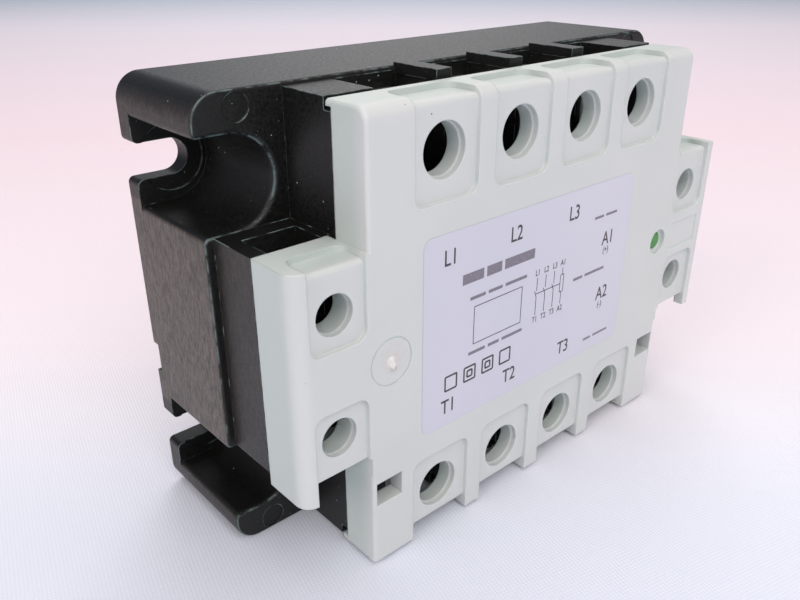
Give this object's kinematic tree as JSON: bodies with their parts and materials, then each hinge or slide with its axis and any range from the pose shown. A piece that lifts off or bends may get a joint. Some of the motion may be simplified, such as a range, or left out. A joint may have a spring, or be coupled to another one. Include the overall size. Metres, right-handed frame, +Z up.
{
  "type": "solid state relay",
  "caption": "Panel-mounted power relay: black housing on a metal base plate, light grey pull-off cover with screw access holes, wire bays at both ends and open mounting slots.",
  "frame": {"origin": "centre of the base plate's outer (heatsink) face", "axes": "+X across the relay to the control terminals, +Y out of the heatsink face, +Z up towards the line terminals"},
  "size_m": [0.103, 0.0415, 0.0737],
  "materials": {
    "housing_plastic": "black glass-filled moulding, fine spark-eroded texture",
    "cover_plastic": "light grey moulding, satin",
    "label_film": "satin printed film",
    "base_metal": "nickel-plated, fine milled",
    "steel_screw": "zinc-plated",
    "plated_steel": "nickel-plated",
    "ceramic_white": "fired alumina",
    "copper": "bare copper",
    "tinned_copper": "tin-plated copper",
    "silicon": "polished die",
    "circuit_board": "green solder mask",
    "ic_black": "moulded epoxy",
    "capacitor_case": "film capacitor case",
    "led_white": "surface-mount LED",
    "light_guide_green": "clear green acrylic"
  },
  "bodies": {
    "relay_body": {"housing": "housing_plastic", "base_plate": "base_metal", "base_plate_screws": "steel_screw", "ceramic_tile_1": "ceramic_white", "copper_tracks_1": "copper", "ceramic_tile_2": "ceramic_white", "copper_tracks_2": "copper", "ceramic_tile_3": "ceramic_white", "copper_tracks_3": "copper", "thyristor_dies": "silicon", "die_clips": "copper", "gate_pins": "tinned_copper", "busbar_l1": "tinned_copper", "busbar_l2": "tinned_copper", "busbar_l3": "tinned_copper", "busbar_t1": "tinned_copper", "busbar_t2": "tinned_copper", "busbar_t3": "tinned_copper", "captive_nuts_m5": "plated_steel", "captive_nuts_m3": "plated_steel", "control_tab_a1": "tinned_copper", "control_tab_a2": "tinned_copper", "control_board": "circuit_board", "optocouplers": "ic_black", "input_regulator": "ic_black", "chip_resistors": "ic_black", "snubber_capacitors": "capacitor_case", "status_led": "led_white", "light_guide": "light_guide_green"},
    "cover": {"front_cover": "cover_plastic", "rating_label": "label_film"},
    "clamp_l1": {"clamp_l1": "plated_steel"},
    "screw_l1": {"screw_l1": "plated_steel"},
    "clamp_l2": {"clamp_l2": "plated_steel"},
    "screw_l2": {"screw_l2": "plated_steel"},
    "clamp_l3": {"clamp_l3": "plated_steel"},
    "screw_l3": {"screw_l3": "plated_steel"},
    "clamp_t1": {"clamp_t1": "plated_steel"},
    "screw_t1": {"screw_t1": "plated_steel"},
    "clamp_t2": {"clamp_t2": "plated_steel"},
    "screw_t2": {"screw_t2": "plated_steel"},
    "clamp_t3": {"clamp_t3": "plated_steel"},
    "screw_t3": {"screw_t3": "plated_steel"},
    "clamp_a1": {"clamp_a1": "plated_steel"},
    "screw_a1": {"screw_a1": "plated_steel"},
    "clamp_a2": {"clamp_a2": "plated_steel"},
    "screw_a2": {"screw_a2": "plated_steel"}
  },
  "joints": [
    {"name": "cover_pull", "type": "slide", "parent": "relay_body", "child": "cover", "axis": [0, -1, 0], "range_m": [0, 0.035]},
    {"name": "lift_l1", "type": "slide", "parent": "relay_body", "child": "clamp_l1", "axis": [0, -1, 0], "range_m": [0, 0.0035]},
    {"name": "turn_l1", "type": "hinge", "parent": "clamp_l1", "child": "screw_l1", "pos_m": [-0.02358, -0.028, 0.02815], "axis": [0, -1, 0], "range_deg": [0, 1576]},
    {"name": "lift_l2", "type": "slide", "parent": "relay_body", "child": "clamp_l2", "axis": [0, -1, 0], "range_m": [0, 0.0035]},
    {"name": "turn_l2", "type": "hinge", "parent": "clamp_l2", "child": "screw_l2", "pos_m": [-0.00786, -0.028, 0.02815], "axis": [0, -1, 0], "range_deg": [0, 1576]},
    {"name": "lift_l3", "type": "slide", "parent": "relay_body", "child": "clamp_l3", "axis": [0, -1, 0], "range_m": [0, 0.0035]},
    {"name": "turn_l3", "type": "hinge", "parent": "clamp_l3", "child": "screw_l3", "pos_m": [0.00786, -0.028, 0.02815], "axis": [0, -1, 0], "range_deg": [0, 1576]},
    {"name": "lift_t1", "type": "slide", "parent": "relay_body", "child": "clamp_t1", "axis": [0, -1, 0], "range_m": [0, 0.0035]},
    {"name": "turn_t1", "type": "hinge", "parent": "clamp_t1", "child": "screw_t1", "pos_m": [-0.02358, -0.028, -0.02815], "axis": [0, -1, 0], "range_deg": [0, 1576]},
    {"name": "lift_t2", "type": "slide", "parent": "relay_body", "child": "clamp_t2", "axis": [0, -1, 0], "range_m": [0, 0.0035]},
    {"name": "turn_t2", "type": "hinge", "parent": "clamp_t2", "child": "screw_t2", "pos_m": [-0.00786, -0.028, -0.02815], "axis": [0, -1, 0], "range_deg": [0, 1576]},
    {"name": "lift_t3", "type": "slide", "parent": "relay_body", "child": "clamp_t3", "axis": [0, -1, 0], "range_m": [0, 0.0035]},
    {"name": "turn_t3", "type": "hinge", "parent": "clamp_t3", "child": "screw_t3", "pos_m": [0.00786, -0.028, -0.02815], "axis": [0, -1, 0], "range_deg": [0, 1576]},
    {"name": "lift_a1", "type": "slide", "parent": "relay_body", "child": "clamp_a1", "axis": [0, -1, 0], "range_m": [0, 0.0025]},
    {"name": "turn_a1", "type": "hinge", "parent": "clamp_a1", "child": "screw_a1", "pos_m": [0.0432, -0.028, 0.00965], "axis": [0, -1, 0], "range_deg": [0, 1801]},
    {"name": "lift_a2", "type": "slide", "parent": "relay_body", "child": "clamp_a2", "axis": [0, -1, 0], "range_m": [0, 0.0025]},
    {"name": "turn_a2", "type": "hinge", "parent": "clamp_a2", "child": "screw_a2", "pos_m": [0.0432, -0.028, -0.00965], "axis": [0, -1, 0], "range_deg": [0, 1801]}
  ],
  "couplings": [
    {"joint": "turn_l1", "follows": "lift_l1", "rad_per_m": 7854},
    {"joint": "turn_l2", "follows": "lift_l2", "rad_per_m": 7854},
    {"joint": "turn_l3", "follows": "lift_l3", "rad_per_m": 7854},
    {"joint": "turn_t1", "follows": "lift_t1", "rad_per_m": 7854},
    {"joint": "turn_t2", "follows": "lift_t2", "rad_per_m": 7854},
    {"joint": "turn_t3", "follows": "lift_t3", "rad_per_m": 7854},
    {"joint": "turn_a1", "follows": "lift_a1", "rad_per_m": 12566},
    {"joint": "turn_a2", "follows": "lift_a2", "rad_per_m": 12566}
  ]
}
